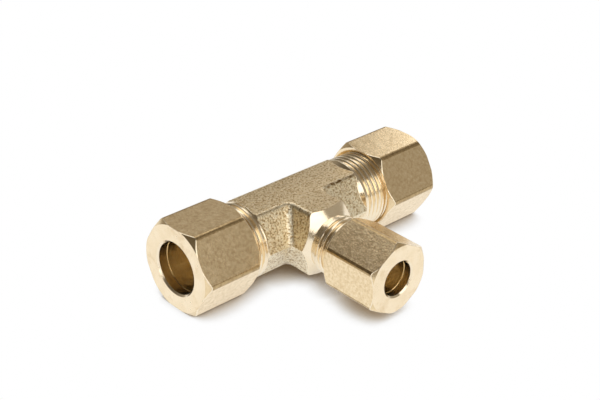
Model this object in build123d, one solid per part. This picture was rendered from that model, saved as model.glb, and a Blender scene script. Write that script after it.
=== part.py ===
from build123d import *
import math
import os

# Brass compression tee: two equal run ends and a smaller branch end, each with a
# loose hexagon nut and a sleeve. Run axis along X, branch towards -Y, forging
# parting line in the plane Z = 0, origin where the two axes cross.

# ---- standard sizes: the thread crest and the spanner flats follow the tube ----
run_tube_diameter = 9.525
branch_tube_diameter = 6.35
tube_to_thread_wall = 2.38125
thread_to_flat_wall = 0.79375

# ---- forged body, set from the threads cut on it ----
flat_below_thread = 0.64
run_parting_above_thread = 0.26
branch_parting_above_thread = 0.84
run_side_draft = 29.3
branch_side_draft = 21.0
crotch_radius = 1.2
flat_edge_radius = 1.1

# ---- turned ends of the body ----
left_forged_reach = 5.3
right_forged_reach = 6.5
run_thread_length = 9.1
run_lead_in_height = 1.1
run_corner_cut_angle = 45.0
branch_forged_reach = 1.7
branch_shoulder_length = 1.9
branch_neck_length = 0.7
branch_neck_depth = 0.42
branch_thread_length = 10.2
thread_tip_chamfer = 0.6
turning_allowance = 1.0

# ---- passages, tube sockets and sleeve seats ----
tube_clearance = 0.07
run_tube_stop_width = 1.23
branch_tube_stop_width = 0.9
run_socket_depth = 7.1
branch_socket_depth = 6.4
run_seat_width = 1.12
branch_seat_width = 1.05
body_seat_half_angle = 22.0

# ---- nuts, as screwed on: how far each tube face stands beyond its arm's end ----
left_nut_stand = 6.05
right_nut_stand = 9.45
branch_nut_stand = 5.4
run_nut_length = 12.3
branch_nut_length = 11.85
branch_nut_turn = 2.5
run_nut_corner_radius = 0.95
branch_nut_corner_radius = 0.85
nut_face_land = 0.17
nut_chamfer_angle = 42.0
nut_hole_clearance = 0.11
run_nut_hole_chamfer = 0.32
branch_nut_hole_chamfer = 0.28
run_nut_wall = 1.9
branch_nut_wall = 1.6
nut_seat_half_angle = 45.0
thread_clearance = 0.06
nut_mouth_countersink = 0.4

# ---- sleeves ----
run_sleeve_length = 5.4
branch_sleeve_length = 4.7
run_sleeve_wall = 0.72
branch_sleeve_wall = 0.62
sleeve_tip_wall = 0.22
sleeve_float = 0.05


def slope(degrees):
    """Radial rise per unit of axial length for a cone of this half angle."""
    return math.tan(math.radians(degrees))


run_thread_radius = run_tube_diameter / 2 + tube_to_thread_wall
branch_thread_radius = branch_tube_diameter / 2 + tube_to_thread_wall
run_socket_radius = run_tube_diameter / 2 + tube_clearance
branch_socket_radius = branch_tube_diameter / 2 + tube_clearance
forging_half_height = run_thread_radius - flat_below_thread
run_parting_half_width = run_thread_radius + run_parting_above_thread
branch_parting_half_width = branch_thread_radius + branch_parting_above_thread
run_flat_half_width = run_parting_half_width - forging_half_height * slope(run_side_draft)
branch_flat_half_width = branch_parting_half_width - forging_half_height * slope(branch_side_draft)
forging_corner_radius = math.hypot(branch_flat_half_width, forging_half_height)
waste_radius = forging_corner_radius + turning_allowance
left_turning_start = branch_parting_half_width + left_forged_reach
right_turning_start = branch_parting_half_width + right_forged_reach
run_arm_end = left_turning_start + run_thread_length
branch_neck_radius = branch_thread_radius - branch_neck_depth
branch_shoulder_start = run_parting_half_width + branch_forged_reach
branch_shoulder_end = branch_shoulder_start + branch_shoulder_length
branch_neck_end = branch_shoulder_end + branch_neck_length
branch_arm_end = branch_neck_end + branch_thread_length
left_arm = Plane(origin=(0, 0, 0), x_dir=(0, 1, 0), z_dir=(-1, 0, 0))
right_arm = Plane(origin=(0, 0, 0), x_dir=(0, 1, 0), z_dir=(1, 0, 0))
branch_arm = Plane(origin=(0, 0, 0), x_dir=(0, 0, 1), z_dir=(0, -1, 0))


def turned(points):
    """Solid of revolution about local Z from (radius, height) points."""
    return revolve(Plane.XZ * make_face(Polyline(*points, close=True)), Axis.Z)


def forged_section(flat_half_width, parting_half_width):
    """Six-sided die-forged section with its side corners on the parting line."""
    return make_face(Polyline(
        (flat_half_width, forging_half_height),
        (parting_half_width, 0),
        (flat_half_width, -forging_half_height),
        (-flat_half_width, -forging_half_height),
        (-parting_half_width, 0),
        (-flat_half_width, forging_half_height),
        close=True,
    ))


def between_ends(shape):
    """Edges of the forging that do not lie on its three end faces."""
    along_x = shape.faces().sort_by(Axis.X)
    along_y = shape.faces().sort_by(Axis.Y)
    ends = along_x[0].edges() + along_x[-1].edges() + along_y[0].edges()
    return [edge for edge in shape.edges() if not any(edge.is_same(end) for end in ends)]


def level(edge):
    return abs((edge @ 1 - edge @ 0).Z) < flat_edge_radius


def forging():
    """Forged tee blank: six-sided run and branch with rounded crotches and edges."""
    run = Plane.YZ.offset(-run_arm_end) * forged_section(run_flat_half_width, run_parting_half_width)
    branch = Plane.XZ * forged_section(branch_flat_half_width, branch_parting_half_width)
    blank = extrude(run, 2 * run_arm_end) + extrude(branch, branch_arm_end)
    crotches = [edge for edge in between_ends(blank) if not level(edge)]
    blank = fillet(crotches, crotch_radius)
    flats = [edge for edge in between_ends(blank)
             if level(edge) and abs(edge.center().Z) > forging_half_height / 2]
    return fillet(flats, flat_edge_radius)


def turning_waste(outline):
    """Ring left outside a turned outline, taken off one arm of the forging."""
    first, last = outline[0], outline[-1]
    clear = last[1] + crotch_radius
    return turned(outline + [(last[0], clear), (waste_radius, clear), (waste_radius, first[1])])


def run_turning(start):
    """Cut that takes the forging's corners down to the thread crest and end chamfer."""
    cut = (waste_radius - run_thread_radius) / slope(run_corner_cut_angle)
    return turning_waste([(waste_radius, start - cut), (run_thread_radius, start),
                          (run_thread_radius, run_arm_end - thread_tip_chamfer),
                          (run_thread_radius - thread_tip_chamfer, run_arm_end)])


def run_thread(start):
    """Turned run end: lead-in rising from the flats, thread crest, end chamfer."""
    lead_radius = run_thread_radius - run_lead_in_height
    tip_radius = run_thread_radius - thread_tip_chamfer
    return turned([(0, 0), (lead_radius, 0), (lead_radius, start - run_lead_in_height),
                   (run_thread_radius, start), (run_thread_radius, run_arm_end - thread_tip_chamfer),
                   (tip_radius, run_arm_end), (0, run_arm_end)])


def branch_turning():
    """Cut that leaves a conical shoulder and a neck, and clears the way for the thread."""
    fall = branch_shoulder_length / (forging_corner_radius - branch_neck_radius)
    edge = branch_shoulder_end - (waste_radius - branch_neck_radius) * fall
    return turning_waste([(waste_radius, edge), (branch_neck_radius, branch_shoulder_end),
                          (branch_neck_radius, branch_neck_end),
                          (branch_socket_radius, branch_neck_end),
                          (branch_socket_radius, branch_arm_end)])


def branch_thread():
    """Turned branch end beyond the neck: thread crest and end chamfer."""
    tip_radius = branch_thread_radius - thread_tip_chamfer
    return turned([(0, 0), (branch_neck_radius, 0), (branch_neck_radius, branch_neck_end),
                   (branch_thread_radius, branch_neck_end + branch_neck_depth),
                   (branch_thread_radius, branch_arm_end - thread_tip_chamfer),
                   (tip_radius, branch_arm_end), (0, branch_arm_end)])


def tube_end(arm_end, socket_radius, stop_width, socket_depth, seat_width):
    """Void of one arm: passage from the centre, tube stop, socket, sleeve seat."""
    passage_radius = socket_radius - stop_width
    seat_start = arm_end - seat_width / slope(body_seat_half_angle)
    return turned([(0, 0), (passage_radius, 0), (passage_radius, arm_end - socket_depth),
                   (socket_radius, arm_end - socket_depth), (socket_radius, seat_start),
                   (socket_radius + seat_width, arm_end), (0, arm_end)])


def tee_body():
    """One-piece body: forging, three turned threads, drilled and counterbored."""
    body = forging() - branch_arm * branch_turning() + branch_arm * branch_thread()
    for arm, start in ((left_arm, left_turning_start), (right_arm, right_turning_start)):
        body = body - arm * run_turning(start) + arm * run_thread(start)
    run_void = tube_end(run_arm_end, run_socket_radius, run_tube_stop_width, run_socket_depth,
                        run_seat_width)
    branch_void = tube_end(branch_arm_end, branch_socket_radius, branch_tube_stop_width,
                           branch_socket_depth, branch_seat_width)
    return body - left_arm * run_void - right_arm * run_void - branch_arm * branch_void


def hexagon(across_flats, corner_radius):
    """Hexagon with rounded corners, one pair of corners on local X."""
    return fillet(RegularPolygon(across_flats / 2, 6, major_radius=False).vertices(), corner_radius)


def compression_nut(corner_radius, length, tube_diameter, hole_chamfer, wall, thread_radius):
    """Nut with its thread mouth at Z = 0 and its tube face at Z = length."""
    across_flats = 2 * (thread_radius + thread_to_flat_wall)
    rim = across_flats / 2 + nut_face_land
    far = across_flats / math.sqrt(3)
    drop = (far - rim) * slope(nut_chamfer_angle)
    blank = extrude(hexagon(across_flats, corner_radius), length)
    blank &= turned([(0, 0), (rim, 0), (far, drop), (far, length - drop), (rim, length), (0, length)])
    hole = tube_diameter / 2 + nut_hole_clearance
    bore = thread_radius + thread_clearance
    seat = length - wall - (bore - hole) / slope(nut_seat_half_angle)
    return blank - turned([(0, 0), (bore + nut_mouth_countersink, 0), (bore, nut_mouth_countersink),
                           (bore, seat), (hole, length - wall), (hole, length - hole_chamfer),
                           (hole + hole_chamfer, length), (0, length)])


def sleeve(tube_diameter, length, middle_wall):
    """Compression sleeve, a double cone thickest at its middle, starting at Z = 0."""
    inside = tube_diameter / 2 + tube_clearance
    return turned([(inside, 0), (inside + sleeve_tip_wall, 0), (inside + middle_wall, length / 2),
                   (inside + sleeve_tip_wall, length), (inside, length)])


def sleeve_start(nut_face, wall, length):
    """Distance of a sleeve's inner end from the origin when it rests in its nut."""
    tip = tube_clearance + sleeve_tip_wall - nut_hole_clearance
    return nut_face - wall - tip / slope(nut_seat_half_angle) - sleeve_float - length


def save(name, solid, arm=Plane.XY, distance=0.0, turn=0.0):
    """Place a piece along its arm and write it as one named solid."""
    placed = arm * Pos(0, 0, distance) * Rot(0, 0, turn) * solid
    placed.label = name
    export_step(placed, os.path.join("parts", name + ".step"))
    return placed


def main():
    os.makedirs("parts", exist_ok=True)
    save("tee_body", tee_body())
    run_nut = compression_nut(run_nut_corner_radius, run_nut_length, run_tube_diameter,
                              run_nut_hole_chamfer, run_nut_wall, run_thread_radius)
    branch_nut = compression_nut(branch_nut_corner_radius, branch_nut_length,
                                 branch_tube_diameter, branch_nut_hole_chamfer,
                                 branch_nut_wall, branch_thread_radius)
    run_sleeve = sleeve(run_tube_diameter, run_sleeve_length, run_sleeve_wall)
    branch_sleeve = sleeve(branch_tube_diameter, branch_sleeve_length, branch_sleeve_wall)
    for side, arm, stand in (("left", left_arm, left_nut_stand), ("right", right_arm, right_nut_stand)):
        face = run_arm_end + stand
        save("run_nut_" + side, run_nut, arm, face - run_nut_length)
        save("run_sleeve_" + side, run_sleeve, arm,
             sleeve_start(face, run_nut_wall, run_sleeve_length))
    branch_nut_face = branch_arm_end + branch_nut_stand
    save("branch_nut", branch_nut, branch_arm, branch_nut_face - branch_nut_length, branch_nut_turn)
    save("branch_sleeve", branch_sleeve, branch_arm,
         sleeve_start(branch_nut_face, branch_nut_wall, branch_sleeve_length))


main()
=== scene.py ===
import math
from functools import partial

import bmesh
import bpy
import numpy as np
from mathutils import Euler, Matrix, Vector


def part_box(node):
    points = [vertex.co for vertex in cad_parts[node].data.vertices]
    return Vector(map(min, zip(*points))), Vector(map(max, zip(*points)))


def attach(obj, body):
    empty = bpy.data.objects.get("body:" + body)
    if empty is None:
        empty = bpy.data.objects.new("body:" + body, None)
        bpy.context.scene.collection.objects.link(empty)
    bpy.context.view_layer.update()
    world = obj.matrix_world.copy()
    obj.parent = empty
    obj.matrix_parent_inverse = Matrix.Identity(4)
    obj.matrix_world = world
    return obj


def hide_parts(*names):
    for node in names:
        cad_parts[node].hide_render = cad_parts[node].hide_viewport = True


# Brass compression tee on a white table. The body and the nuts are copies of the CAD's,
# whose plain thread cylinders give way to real threads; the sleeves are the CAD's own.

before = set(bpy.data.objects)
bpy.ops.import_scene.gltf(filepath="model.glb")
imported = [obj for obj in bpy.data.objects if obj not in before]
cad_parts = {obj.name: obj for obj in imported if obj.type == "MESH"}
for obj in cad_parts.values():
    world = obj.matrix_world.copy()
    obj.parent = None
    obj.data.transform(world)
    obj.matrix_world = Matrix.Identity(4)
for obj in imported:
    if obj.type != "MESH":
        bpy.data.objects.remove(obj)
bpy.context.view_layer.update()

# ---------------------------------------------------------------- sizes, in metres
MM = 0.001
INCH = 25.4 * MM

# Radii and half widths of a standard 3/8 x 3/8 x 1/4 inch compression tee.
RUN_TUBE = INCH * 3 / 8 / 2
BRANCH_TUBE = INCH / 4 / 2
RUN_CREST = INCH * 9 / 16 / 2
BRANCH_CREST = INCH * 7 / 16 / 2
RUN_FLAT = INCH * 5 / 8 / 2
BRANCH_FLAT = INCH / 2 / 2

# Threads, 24 to the inch. Crest and root are shares of one pitch, with a flank each side.
PITCH = INCH / 24
THREAD_DEPTH = 0.49 * MM
THREAD_CLEARANCE = 0.06 * MM
CREST_SHARE = 0.34
ROOT_SHARE = 0.12
TIP_CHAMFER = 0.6 * MM

# A thread's mesh has a row this share of a pitch from the crest's middle, and one this
# share to each side of every edge of crest and root.
CREST_ROW = 0.1
EDGE_ROW = 0.015

NUT_COUNTERSINK = 0.4 * MM
NUT_HOLE_CLEARANCE = 0.11 * MM
NUT_EDGE_RADIUS = 0.1 * MM
RUN_NUT_WALL = 1.9 * MM
BRANCH_NUT_WALL = 1.6 * MM

# How close a vertex has to come to count as on a surface, a place as the same place, and
# two vertices as one.
ON_SURFACE = 0.06 * MM
SAME_PLACE = 0.001 * MM
SAME_VERTEX = 0.0002 * MM


def extent(node, out):
    """Nearest and furthest distance of a CAD node along an outward axis."""
    ends = [corner.dot(Vector(out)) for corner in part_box(node)]
    return min(ends), max(ends)


def arm_of(out, across, over, crest, thread, fade):
    """A threaded arm of the body: its outward axis and two cross axes, in right-handed
    order, the radius of its thread's crest, where the thread starts and ends, and the
    length in which it fades in."""
    end = extent("tee_body", out)[1]
    return dict(out=Vector(out), across=Vector(across), over=Vector(over), crest=crest,
                start=end - thread, end=end, fade=fade)


ARMS = {
    "left": arm_of((-1, 0, 0), (0, 1, 0), (0, 0, -1), RUN_CREST, thread=9.1 * MM, fade=0.5 * MM),
    "right": arm_of((1, 0, 0), (0, 1, 0), (0, 0, 1), RUN_CREST, thread=7.9 * MM, fade=0.5 * MM),
    "branch": arm_of((0, -1, 0), (1, 0, 0), (0, 0, 1), BRANCH_CREST, thread=9.78 * MM, fade=0.6 * MM),
}


# ---------------------------------------------------------------- shader nodes
class Shading:
    """Node tree of a material or the world, with a short call for each kind of node."""

    def __init__(self, owner):
        owner.use_nodes = True
        self.nodes = owner.node_tree.nodes
        self.link = owner.node_tree.links.new
        self.nodes.clear()

    def new(self, kind):
        return self.nodes.new("ShaderNode" + kind)

    def math(self, operation, *values):
        """Result of a sum on sockets and plain numbers."""
        made = self.new("Math")
        made.operation = operation
        for socket, value in zip(made.inputs, values):
            if isinstance(value, float):
                socket.default_value = value
            else:
                self.link(value, socket)
        return made.outputs[0]

    def times(self, first, second):
        return self.math("MULTIPLY", first, second)

    def where(self, kind):
        """The x, y and z of a texture coordinate."""
        made = self.new("SeparateXYZ")
        self.link(self.new("TexCoord").outputs[kind], made.inputs[0])
        return made.outputs

    def noise(self, scale, detail, rough, stretch=None):
        """Noise with about so many grains a metre, or stretched by a factor an axis."""
        place = self.new("TexCoord").outputs["Object"]
        if stretch:
            mapping = self.new("Mapping")
            mapping.inputs["Scale"].default_value = stretch
            self.link(place, mapping.inputs["Vector"])
            place = mapping.outputs["Vector"]
        made = self.new("TexNoise")
        made.inputs["Scale"].default_value = scale
        made.inputs["Detail"].default_value = detail
        made.inputs["Roughness"].default_value = rough
        self.link(place, made.inputs["Vector"])
        return made.outputs["Fac"]

    def ramp(self, value, stops):
        """Colour ramp of a value, through stops of (value, colour)."""
        made = self.new("ValToRGB")
        bar = made.color_ramp
        while len(bar.elements) < len(stops):
            bar.elements.new(0.5)
        for element, (place, colour) in zip(bar.elements, stops):
            element.position = place
            element.color = (*colour, 1)
        self.link(value, made.inputs["Fac"])
        return made.outputs["Color"]

    def fade(self, value, *stops):
        """Number that follows a value, through stops of (value, number)."""
        return self.ramp(value, [(place, grey(level)) for place, level in stops])

    def darken(self, colour, mask, tone):
        """Multiplies a colour by a tone where a mask is one."""
        made = self.new("Mix")
        made.data_type = "RGBA"
        made.blend_type = "MULTIPLY"
        self.link(mask, made.inputs["Factor"])
        colours = [socket for socket in made.inputs if socket.type == "RGBA"]
        self.link(colour, colours[0])
        colours[1].default_value = (*tone, 1)
        return next(socket for socket in made.outputs if socket.type == "RGBA")

    def bump(self, height, distance, normal):
        """Normal tilted by a height of one distance, on top of another normal."""
        made = self.new("Bump")
        made.inputs["Distance"].default_value = distance
        self.link(height, made.inputs["Height"])
        if normal:
            self.link(normal, made.inputs["Normal"])
        return made.outputs["Normal"]

    def bevel(self, radius):
        """Normal that looks rounded at the edges."""
        made = self.new("Bevel")
        made.samples = 6
        made.inputs["Radius"].default_value = radius
        return made.outputs["Normal"]


def grey(level):
    return (level, level, level)


# ---------------------------------------------------------------- materials
# Tones of the forging's marks: a darker band on the rounded edges, painted shade on the level flats,
# and pits.
EDGE_BAND_TONE = (0.34, 0.26, 0.17)
LEVEL_SHADE_TONE = (0.70, 0.65, 0.58)
PIT_TONE = (0.42, 0.32, 0.20)


def forging_marks_and_level_shade(shading, colour):
    """Marks of the forging: a darker band, in patches, on the rounded edges, painted shade that darkens
    the level flats, and pits on the upright sides, more of them higher up."""
    slant = shading.math("ABSOLUTE", shading.where("Normal")["Z"])
    # slant is 0 on an upright face and 1 on a level one
    # a darker band on the rounded edges between upright and level faces
    edges = shading.fade(slant, (0.50, 0.0), (0.70, 1.0), (0.93, 1.0), (0.99, 0.0))
    # painted shade: the level flats, top and bottom, are darkened by a tone
    level = shading.fade(slant, (0.94, 0.0), (0.99, 1.0))
    upright = shading.fade(slant, (0.30, 1.0), (0.60, 0.0))
    patches = shading.fade(shading.noise(1100, detail=4.0, rough=0.65), (0.44, 0.1), (0.54, 1.0))
    areas = shading.fade(shading.noise(110, detail=2.0, rough=0.5), (0.43, 0.20), (0.58, 1.0))
    grains = shading.fade(shading.noise(2500, detail=3.0, rough=0.6), (0.51, 0.0), (0.58, 1.0))
    centimetres = shading.times(shading.where("Object")["Z"], 100.0)
    height = shading.fade(centimetres, (0.12, 0.0), (0.50, 1.0))
    scale = shading.times(edges, shading.times(patches, areas))
    pits = shading.times(shading.times(upright, height), shading.times(grains, areas))
    # the darker band on the rounded edges, in patches
    colour = shading.darken(colour, scale, EDGE_BAND_TONE)
    # painted shade on the level flats
    colour = shading.darken(colour, level, LEVEL_SHADE_TONE)
    return shading.darken(colour, pits, PIT_TONE)


def brass(name, stops, mottle, rough, bumps=(), edge=None, feed=None, detail=5.0, stain=None,
          forging=False):
    """Metal whose colour is mottled through the stops, with so many mottles a metre of so
    much detail, and a roughness that varies between two values. bumps are (grains a metre,
    height, detail), edge a radius that its edges look rounded by, feed the stretch and
    height of its tool marks, and stain the number a metre and the tone of broad stains."""
    material = bpy.data.materials.new(name)
    shading = Shading(material)
    shader = shading.new("BsdfPrincipled")
    shader.inputs["Metallic"].default_value = 1.0
    shading.link(shader.outputs["BSDF"], shading.new("OutputMaterial").inputs["Surface"])
    colour = shading.ramp(shading.noise(mottle, detail, rough=0.6), stops)
    if stain:
        spread, tone = stain
        spots = shading.fade(shading.noise(spread, detail=5.0, rough=0.6), (0.54, 0.0), (0.66, 1.0))
        colour = shading.darken(colour, spots, tone)
    if forging:
        colour = forging_marks_and_level_shade(shading, colour)
    shading.link(colour, shader.inputs["Base Color"])
    low, high = rough
    wear = shading.fade(shading.noise(900, detail=3.0, rough=0.5), (0.3, low), (0.7, high))
    shading.link(wear, shader.inputs["Roughness"])
    normal = shading.bevel(edge) if edge else None
    for grains, distance, fine in bumps:
        normal = shading.bump(shading.noise(grains, fine, rough=0.6), distance, normal)
    if feed:
        stretch, distance = feed
        marks = shading.noise(1.0, detail=2.0, rough=0.5, stretch=stretch)
        normal = shading.bump(marks, distance, normal)
    if normal:
        shading.link(normal, shader.inputs["Normal"])
    return material


# Tool marks: noise that is fine along an arm and long about it.
ALONG_RUN, ALONG_BRANCH = (9000, 1, 1), (1, 9000, 1)


def tooled(name, stops, mottle, rough, marks, edge=None):
    """One finish twice: with tool marks of a height along the run, and along the branch."""
    return [brass(name + end, stops, mottle, rough, edge=edge, feed=(stretch, marks))
            for end, stretch in (("_run", ALONG_RUN), ("_branch", ALONG_BRANCH))]


# Colours as (noise value, linear colour).
FORGED_BRASS = [(0.40, (0.50, 0.36, 0.19)), (0.47, (0.92, 0.77, 0.51)), (0.57, (1.0, 0.91, 0.70))]
BRIGHT_BRASS = [(0.3, (0.92, 0.78, 0.56)), (0.7, (0.97, 0.85, 0.65))]
BORED_BRASS = [(0.3, (0.90, 0.69, 0.39)), (0.7, (0.96, 0.78, 0.47))]
PALE_BRASS = [(0.3, (0.93, 0.81, 0.60)), (0.7, (0.98, 0.89, 0.70))]
FLAT_BRASS = [(0.36, (0.78, 0.60, 0.36)), (0.5, (0.88, 0.70, 0.44)), (0.64, (0.95, 0.78, 0.52))]
# painted shade: the hex corners' brass is much darker than the flats'
SHADED_CORNER_BRASS = [(0.36, (0.40, 0.28, 0.14)), (0.64, (0.58, 0.43, 0.23))]
FACE_BRASS = [(0.30, (0.92, 0.76, 0.52)), (0.45, (0.95, 0.79, 0.55)), (0.7, (0.98, 0.83, 0.60))]
CHAMFER_BRASS = [(0.3, (0.74, 0.57, 0.33)), (0.7, (0.90, 0.72, 0.46))]

forged = brass("forged_brass", FORGED_BRASS, mottle=2800, detail=3.0, rough=(0.28, 0.38), forging=True,
               bumps=[(2800, 0.09 * MM, 2.0), (900, 0.06 * MM, 2.0)], edge=0.3 * MM)
turned_run, turned_branch = tooled("turned_brass", BRIGHT_BRASS, mottle=500, rough=(0.12, 0.20),
                                   marks=0.02 * MM, edge=0.06 * MM)
bored_run, bored_branch = tooled("bored_brass", BORED_BRASS, mottle=600, rough=(0.24, 0.34),
                                 marks=0.06 * MM)
drilled_run, drilled_branch = tooled("drilled_brass", BRIGHT_BRASS, mottle=600, rough=(0.13, 0.20),
                                     marks=0.03 * MM)
nut_flats = brass("nut_flats", FLAT_BRASS, mottle=1700, rough=(0.17, 0.25),
                  bumps=[(2600, 0.02 * MM, 3.0), (420, 0.02 * MM, 2.0)])
# dark brass on the hex corners: painted shade for the dark reflection they show
shaded_nut_corners = brass("shaded_nut_corners", SHADED_CORNER_BRASS, mottle=1700, rough=(0.24, 0.34),
                    bumps=[(2600, 0.02 * MM, 3.0)])
nut_face = brass("nut_face", FACE_BRASS, mottle=420, detail=1.0, rough=(0.20, 0.28),
                 edge=0.2 * MM, stain=(230, (0.87, 0.82, 0.75)))
nut_chamfer = brass("nut_chamfer", CHAMFER_BRASS, mottle=900, rough=(0.16, 0.24),
                    bumps=[(3000, 0.01 * MM, 2.0)])
sleeve_run = brass("sleeve_brass_run", PALE_BRASS, mottle=500, rough=(0.12, 0.18),
                   feed=(ALONG_RUN, 0.03 * MM))
sleeve_branch = brass("sleeve_brass_branch", PALE_BRASS, mottle=500, rough=(0.08, 0.14),
                      feed=(ALONG_BRANCH, 0.02 * MM))
nut_edges = brass("nut_edges", BRIGHT_BRASS, mottle=900, rough=(0.14, 0.22),
                  bumps=[(1500, 0.02 * MM, 2.0)])


# ---------------------------------------------------------------- threads
def along(arm, place):
    """Distance of a place along an arm, and its distance from the arm's axis."""
    reach = place.dot(arm["out"])
    return reach, (place - arm["out"] * reach).length


def about(arm, reach, angle, radius):
    """Place at a distance along an arm, an angle about it and a radius from its axis."""
    spoke = arm["across"] * math.cos(angle) + arm["over"] * math.sin(angle)
    return arm["out"] * reach + spoke * radius


def half_turn(angle):
    """The same angle, between half a turn back and half a turn on."""
    return (angle + math.pi) % (2 * math.pi) - math.pi


def groove_depth(arm, reach, angle):
    """Depth of a 60 degree thread below its crest, on a right-handed helix."""
    phase = ((reach - arm["start"]) / PITCH - angle / (2 * math.pi)) % 1.0
    away = np.abs(phase - 0.5)
    # away runs from 0 at the groove's middle to 0.5 at the crest's middle
    flank = (1 - CREST_SHARE - ROOT_SHARE) / 2
    rise = np.clip((away - ROOT_SHARE / 2) / flank, 0, 1)
    return THREAD_DEPTH * (1 - rise)


def male_radius(arm, reach, angle):
    """Radius of an arm's thread, which fades in at its start and has a chamfered tip."""
    missing = THREAD_DEPTH * (1 - np.clip((reach - arm["start"]) / arm["fade"], 0, 1))
    depth = np.maximum(groove_depth(arm, reach, angle) - missing, 0)
    return np.minimum(arm["crest"] - depth, arm["crest"] - TIP_CHAMFER + arm["end"] - reach)


def female_radius(arm, reach, angle, first, last):
    """Radius of a nut's thread, which lies in the arm's grooves and fades at both ends."""
    depth = np.minimum(groove_depth(arm, reach, angle), np.minimum(reach - first, last - reach))
    return arm["crest"] + THREAD_CLEARANCE - depth


def profile_rows():
    """Places of a thread mesh's rows in one pitch, from one crest's middle to the next."""
    crest_edge = CREST_SHARE / 2
    root_edge = 0.5 - ROOT_SHARE / 2
    third = (root_edge - crest_edge) / 3
    half = [0.0, CREST_ROW, crest_edge - EDGE_ROW, crest_edge + EDGE_ROW, crest_edge + third,
            root_edge - third, root_edge - EDGE_ROW, root_edge + EDGE_ROW]
    return half + [0.5] + [1 - place for place in reversed(half[1:])]


def join_rows(mesh, lower, upper, finish, inward):
    """Adds the faces between two rows of vertices."""
    for i in range(len(lower) - 1):
        corners = [lower[i], lower[i + 1], upper[i + 1], upper[i]]
        if inward:
            corners.reverse()
        made = mesh.faces.new(corners)
        made.material_index = finish
        made.smooth = True


def add_thread(mesh, arm, first, last, radius, finish, steps, inward=False):
    """Adds a thread's surface to a mesh, in rows that climb one pitch a turn and are held
    between two distances along the arm. radius() gives its radius at distances and angles,
    and steps is how many parts a turn has."""
    begin = (first - arm["start"]) / PITCH
    stop = (last - arm["start"]) / PITCH
    margin = 0.2
    # a row climbs a whole turn, and one that ends more than the margin before first is left out
    rows = [turn + place for turn in range(int(begin) - 2, int(stop) + 2) for place in profile_rows()
            if turn + place + 1 + margin >= begin]
    angles = np.arange(steps + 1) * 2 * math.pi / steps
    previous = None
    for row in rows:
        reaches = np.clip(arm["start"] + PITCH * (row + angles / (2 * math.pi)), first, last)
        radii = radius(reaches, angles)
        line = [mesh.verts.new(about(arm, float(reaches[i]), angles[i], float(radii[i])))
                for i in range(steps + 1)]
        if previous:
            join_rows(mesh, previous, line, finish, inward)
        previous = line
        if np.all(reaches >= last):
            break


def join_rims(mesh, arm, reach, radius):
    """Closes the seam where two open loops of unequal steps lie on one circle."""
    def angle(vertex):
        return math.atan2(vertex.co.dot(arm["over"]), vertex.co.dot(arm["across"])) % (2 * math.pi)

    def on_circle(vertex):
        far, away = along(arm, vertex.co)
        return max(abs(far - reach), abs(away - radius)) < 2 * SAME_PLACE

    rim = [edge for edge in mesh.edges if len(edge.link_faces) == 1 and all(map(on_circle, edge.verts))]
    steps = sorted({round(angle(vertex), 6) for edge in rim for vertex in edge.verts})
    end_share = 1e-4
    for edge in rim:
        begin, stop = (angle(vertex) for vertex in edge.verts)
        sweep = half_turn(stop - begin)
        shares = [(half_turn(step - begin) / sweep, step) for step in steps]
        vertex = edge.verts[0]
        for share, step in sorted(shares):
            if end_share < share < 1 - end_share:
                edge, vertex = bmesh.utils.edge_split(edge, vertex, 0.5)
                vertex.co = about(arm, reach, step, radius)
                edge = next(other for other in vertex.link_edges
                            if other is not edge and len(other.link_faces) == 1)


# ---------------------------------------------------------------- body and nuts
# Bends of an edge below which it looks smooth, and below which its two faces are one flat.
SMOOTH_BELOW = math.radians(24)
LEVEL_BELOW = 0.002

# How much of a face's normal points along its arm, at least, for an end face and for a
# cone, and outwards from the axis, at most, for the wall of a hole.
END_NORMAL = 0.9
CONE_NORMAL = 0.62
HOLE_NORMAL = -0.3


def weld(mesh, distance):
    bmesh.ops.remove_doubles(mesh, verts=mesh.verts, dist=distance)


def sharpen(mesh):
    """Keeps an edge sharp where it bends or parts two materials."""
    for edge in mesh.edges:
        if len(edge.link_faces) == 2:
            first, second = edge.link_faces
            same = first.material_index == second.material_index
            edge.smooth = same and edge.calc_face_angle(0) < SMOOTH_BELOW


def open_copy(node, sort):
    """Copy of a CAD node's mesh, each face with the finish that sort() gives, or cut out."""
    mesh = bmesh.new()
    mesh.from_mesh(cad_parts[node].data)
    for layer in list(mesh.loops.layers.uv):
        mesh.loops.layers.uv.remove(layer)
    weld(mesh, SAME_VERTEX / 2)
    mesh.normal_update()
    cut = []
    for made in mesh.faces:
        made.smooth = True
        finish = sort(made)
        if finish is None:
            cut.append(made)
        else:
            made.material_index = finish
    bmesh.ops.delete(mesh, geom=cut, context="FACES")
    return mesh


def close_up(mesh, rims):
    """Joins threads to the rest of a mesh, at rims of (arm, distance along it, radius)."""
    weld(mesh, SAME_VERTEX)
    bmesh.ops.dissolve_degenerate(mesh, edges=mesh.edges, dist=SAME_VERTEX / 20)
    for rim in rims:
        join_rims(mesh, *rim)
    weld(mesh, SAME_VERTEX)
    mesh.normal_update()
    sharpen(mesh)


def dress(node, mesh, materials, body):
    """Puts a finished mesh in the scene in place of a CAD node."""
    data = bpy.data.meshes.new(node + "_threaded")
    mesh.to_mesh(data)
    mesh.free()
    for material in materials:
        data.materials.append(material)
    piece = bpy.data.objects.new(node + "_threaded", data)
    bpy.context.scene.collection.objects.link(piece)
    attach(piece, body)
    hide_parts(node)
    return piece


# Limits that part the body's turned faces from the forged ones, each a little looser than
# the real size, and the space inside which each arm is drilled.
LEAD_IN_LENGTH = 1.4 * MM
LEAD_IN_RADIUS = 6.0 * MM
SHOULDER_START = 9.0 * MM
NECK_START = 11.0 * MM
NECK_RADIUS = 4.6 * MM
SEAT_RADIUS = 5.99 * MM
PASSAGE_START = 6.0 * MM
SOCKET_RADIUS = 4.9 * MM

FORGED, TURNED_RUN, TURNED_BRANCH, BORED_RUN, BORED_BRANCH = range(5)


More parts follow.
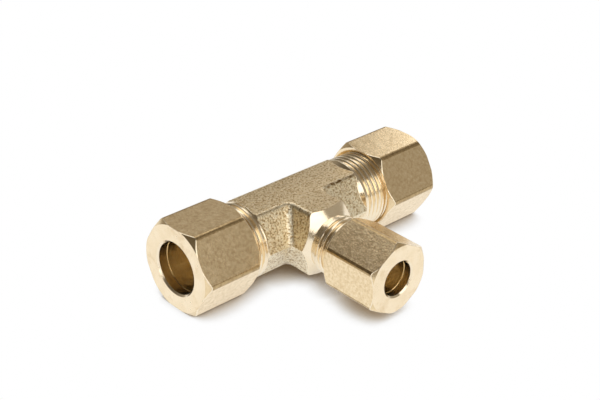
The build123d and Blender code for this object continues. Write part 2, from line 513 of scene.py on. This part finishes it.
def under_thread(arm, reach, made):
    """Whether a face is part of the plain crest or tip that a thread takes over."""
    tip = arm["end"] - TIP_CHAMFER
    spots = [along(arm, vertex.co) for vertex in made.verts]
    on_crest = all(abs(away - arm["crest"]) < ON_SURFACE for far, away in spots)
    on_tip = all(abs(away - arm["crest"] + max(0.0, far - tip)) < ON_SURFACE for far, away in spots)
    return (on_crest and reach > arm["start"] - SAME_PLACE) or (on_tip and reach > tip - SAME_PLACE)


def sort_body(made):
    """Finish of a body face, or None where a thread takes its place."""
    centre = made.calc_center_median()
    for side, arm in ARMS.items():
        on_branch = side == "branch"
        turned, bored = (TURNED_BRANCH, BORED_BRANCH) if on_branch else (TURNED_RUN, BORED_RUN)
        reach, radius = along(arm, centre)
        if under_thread(arm, reach, made):
            return None
        lengthwise = made.normal.dot(arm["out"])
        outward = made.normal.dot((centre - arm["out"] * reach).normalized())
        if reach > arm["end"] - 10 * SAME_PLACE and abs(lengthwise) > END_NORMAL:
            return turned
        if on_branch:
            if reach > SHOULDER_START and radius > NECK_RADIUS and (
                    lengthwise > CONE_NORMAL or reach > NECK_START):
                return turned
        elif (reach > arm["start"] - LEAD_IN_LENGTH and radius > LEAD_IN_RADIUS
              and abs(lengthwise) > CONE_NORMAL):
            return turned
        if reach > 0 and radius < SEAT_RADIUS and outward < HOLE_NORMAL:
            return bored
        if reach > PASSAGE_START and radius < SOCKET_RADIUS:
            return bored
    return FORGED


def dress_body():
    """Tee body with threads on its three arms."""
    mesh = open_copy("tee_body", sort_body)
    rims = []
    for side, arm in ARMS.items():
        add_thread(mesh, arm, arm["start"], arm["end"], partial(male_radius, arm),
                   TURNED_BRANCH if side == "branch" else TURNED_RUN, steps=144)
        rims += [(arm, arm["start"], arm["crest"]), (arm, arm["end"], arm["crest"] - TIP_CHAMFER)]
    close_up(mesh, rims)
    finishes = [forged, turned_run, turned_branch, bored_run, bored_branch]
    dress("tee_body", mesh, finishes, "tee")


# How deep the finish of a nut's tube hole goes: the wall, and the inmost part of the seat.
DRILLED_DEPTH = 2.2 * MM

FLAT, FACE, CHAMFER, BORED, CORNER, DRILLED, ROUNDED = range(7)


def round_edges(mesh):
    """Rounds the edges between the flats and the chamfers of a nut."""
    within = [edge for edge in mesh.edges if len(edge.link_faces) == 2
              and all(made.material_index == FLAT for made in edge.link_faces)
              and edge.calc_face_angle(1) < LEVEL_BELOW]
    bmesh.ops.dissolve_edges(mesh, edges=within, use_verts=False)
    mesh.normal_update()
    chosen = []
    for edge in mesh.edges:
        finishes = {made.material_index for made in edge.link_faces}
        if CHAMFER in finishes and finishes & {FLAT, CORNER}:
            chosen.append(edge)
    ends = list({vertex for edge in chosen for vertex in edge.verts})
    bmesh.ops.bevel(mesh, geom=chosen + ends, offset=NUT_EDGE_RADIUS, offset_type="OFFSET", segments=3,
                    profile=0.5, affect="EDGES", clamp_overlap=True, material=ROUNDED)


def dress_nut(node, arm, tube, flat, wall, bored, drilled):
    """Nut with a thread inside, rounded edges and a finish for each kind of face."""
    mouth, end = extent(node, arm["out"])
    bore = arm["crest"] + THREAD_CLEARANCE
    first = mouth + NUT_COUNTERSINK
    last = end - wall - (bore - tube - NUT_HOLE_CLEARANCE)
    # the seat beyond last is a 45 degree cone, as long as it narrows

    def sort_nut(made):
        """Finish of a nut face, or None for the plain bore that the thread takes over."""
        centre = made.calc_center_median()
        reach, radius = along(arm, centre)
        lengthwise = abs(made.normal.dot(arm["out"]))
        if all(abs(along(arm, vertex.co)[1] - bore) < ON_SURFACE for vertex in made.verts):
            return None
        if lengthwise > END_NORMAL:
            return FACE
        if radius < bore + 1.5 * NUT_COUNTERSINK:
            return DRILLED if reach > end - DRILLED_DEPTH else BORED
        if lengthwise > CONE_NORMAL:
            return CHAMFER
        return FLAT if abs(made.normal.dot(centre) - flat) < ON_SURFACE else CORNER

    mesh = open_copy(node, sort_nut)
    round_edges(mesh)
    add_thread(mesh, arm, first, last, partial(female_radius, arm, first=first, last=last),
               BORED, steps=96, inward=True)
    close_up(mesh, [(arm, first, bore), (arm, last, bore)])
    finishes = [nut_flats, nut_face, nut_chamfer, bored, shaded_nut_corners, drilled, nut_edges]
    dress(node, mesh, finishes, node)


def dress_sleeve(node, material):
    """Gives a sleeve, which stays the CAD's own, its finish."""
    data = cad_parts[node].data
    data.materials.clear()
    data.materials.append(material)


dress_body()
for side in ("left", "right"):
    dress_nut("run_nut_" + side, ARMS[side], RUN_TUBE, RUN_FLAT, RUN_NUT_WALL, bored_run, drilled_run)
    dress_sleeve("run_sleeve_" + side, sleeve_run)
dress_nut("branch_nut", ARMS["branch"], BRANCH_TUBE, BRANCH_FLAT, BRANCH_NUT_WALL,
          bored_branch, drilled_branch)
dress_sleeve("branch_sleeve", sleeve_branch)


# ---------------------------------------------------------------- floor, light, camera
TABLE_SIZE = 4.0
CONTACT_REACH = 6 * MM
MIRROR_REACH = 20 * MM
# Painted contact shadow: the table's matt colour set by how open the place is nearby.
PAINTED_CONTACT_SHADOW = [(0.10, (0.36, 0.27, 0.18)), (0.32, (0.72, 0.66, 0.57)), (0.50, (0.84, 0.84, 0.84))]


def openness(shading, reach):
    """How open to the air a place is: 1 with nothing else within reach."""
    made = shading.new("AmbientOcclusion")
    made.samples = 12
    made.inputs["Distance"].default_value = reach
    return made.outputs["AO"]


def floor_material():
    """White table: its contact shadow stays, deepened by a painted shadow in its colour near the
    object, and further out it is plain white.
    """
    material = bpy.data.materials.new("white_table")
    shading = Shading(material)
    near, wide = openness(shading, CONTACT_REACH), openness(shading, MIRROR_REACH)
    ray = shading.new("LightPath").outputs
    matt = shading.new("BsdfDiffuse")
    # painted contact shadow: the matt colour darkens near the object
    shading.link(shading.ramp(near, PAINTED_CONTACT_SHADOW), matt.inputs["Color"])
    seen = shading.times(shading.fade(near, (0.24, 0.0), (0.60, 1.0)), ray["Is Camera Ray"])
    mirrored = shading.times(shading.fade(wide, (0.05, 0.5), (0.32, 0.97)), ray["Is Glossy Ray"])
    mixed = shading.new("MixShader")
    shading.link(shading.math("ADD", seen, mirrored), mixed.inputs[0])
    shading.link(matt.outputs[0], mixed.inputs[1])
    shading.link(shading.new("Emission").outputs[0], mixed.inputs[2])
    shading.link(mixed.outputs[0], shading.new("OutputMaterial").inputs["Surface"])
    return material


def make_floor():
    """Table under the run nuts' lower flats."""
    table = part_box("run_nut_left")[0].z
    bpy.ops.mesh.primitive_plane_add(size=TABLE_SIZE, location=(0, 0, table))
    floor = bpy.context.object
    floor.name = "white_table"
    floor.data.materials.append(floor_material())


LAMP_DISTANCE = 0.9


def softbox(name, direction, width, height, level):
    """Area lamp of a stated radiance that faces the object."""
    lamp = bpy.data.lights.new(name, "AREA")
    lamp.shape = "RECTANGLE"
    lamp.size = width
    lamp.size_y = height
    lamp.energy = level * math.pi * width * height
    made = bpy.data.objects.new(name, lamp)
    place = Vector(direction).normalized() * LAMP_DISTANCE
    made.location = place
    made.rotation_euler = (-place).to_track_quat("-Z", "Y").to_euler()
    bpy.context.scene.collection.objects.link(made)


# Colours of the studio by height, from the floor (0) over the horizon (0.5) to the
# ceiling (1), and the share of the dimmer left wall by place across (0 is left).
STUDIO = [(0.0, grey(1.0)), (0.49, grey(0.9)), (0.53, (0.42, 0.38, 0.32)), (0.62, (0.38, 0.34, 0.28)),
          (0.75, (0.38, 0.34, 0.28)), (0.88, (0.24, 0.21, 0.17)), (1.0, (0.22, 0.19, 0.15))]
DIM_LEFT = (0.22, 1.0), (0.44, 0.0)
DIM_TONE = (0.42, 0.40, 0.37)


def make_world():
    """Studio that the metal mirrors: white below, warm grey walls, a darker ceiling."""
    world = bpy.data.worlds.new("studio")
    bpy.context.scene.world = world
    shading = Shading(world)
    place = shading.where("Generated")
    height = shading.math("MULTIPLY_ADD", place["Z"], 0.5, 0.5)
    across = shading.math("MULTIPLY_ADD", place["X"], 0.5, 0.5)
    sky = shading.darken(shading.ramp(height, STUDIO), shading.fade(across, *DIM_LEFT), DIM_TONE)
    back = shading.new("Background")
    shading.link(sky, back.inputs["Color"])
    shading.link(back.outputs[0], shading.new("OutputWorld").inputs["Surface"])


# The camera's place, and its turns about x, then y, then z.
CAMERA_PLACE = (-141.48 * MM, -148.09 * MM, 118.92 * MM)
CAMERA_DEGREES = (60.6636, -1.7262, -43.2074)


def make_camera():
    """Camera of the photograph, fitted to the corners and rims that it shows."""
    camera = bpy.data.cameras.new("photo_camera")
    camera.lens = 77.205
    camera.sensor_width = 36.0
    camera.clip_start = 10 * MM
    eye = bpy.data.objects.new("photo_camera", camera)
    turns = [math.radians(turn) for turn in CAMERA_DEGREES]
    eye.matrix_world = Matrix.LocRotScale(Vector(CAMERA_PLACE), Euler(turns), None)
    bpy.context.scene.collection.objects.link(eye)
    bpy.context.scene.camera = eye


make_floor()
softbox("top_box", (0.24, 0.42, 0.87), width=0.76, height=0.60, level=1.2)
softbox("front_box", (0.02, -0.86, 0.46), width=0.68, height=0.66, level=1.3)
softbox("left_box", (-0.72, -0.60, 0.34), width=0.50, height=0.56, level=1.5)
softbox("right_box", (0.85, 0.42, 0.36), width=0.42, height=0.36, level=1.05)
make_world()
make_camera()
bpy.context.scene.view_settings.view_transform = "Standard"
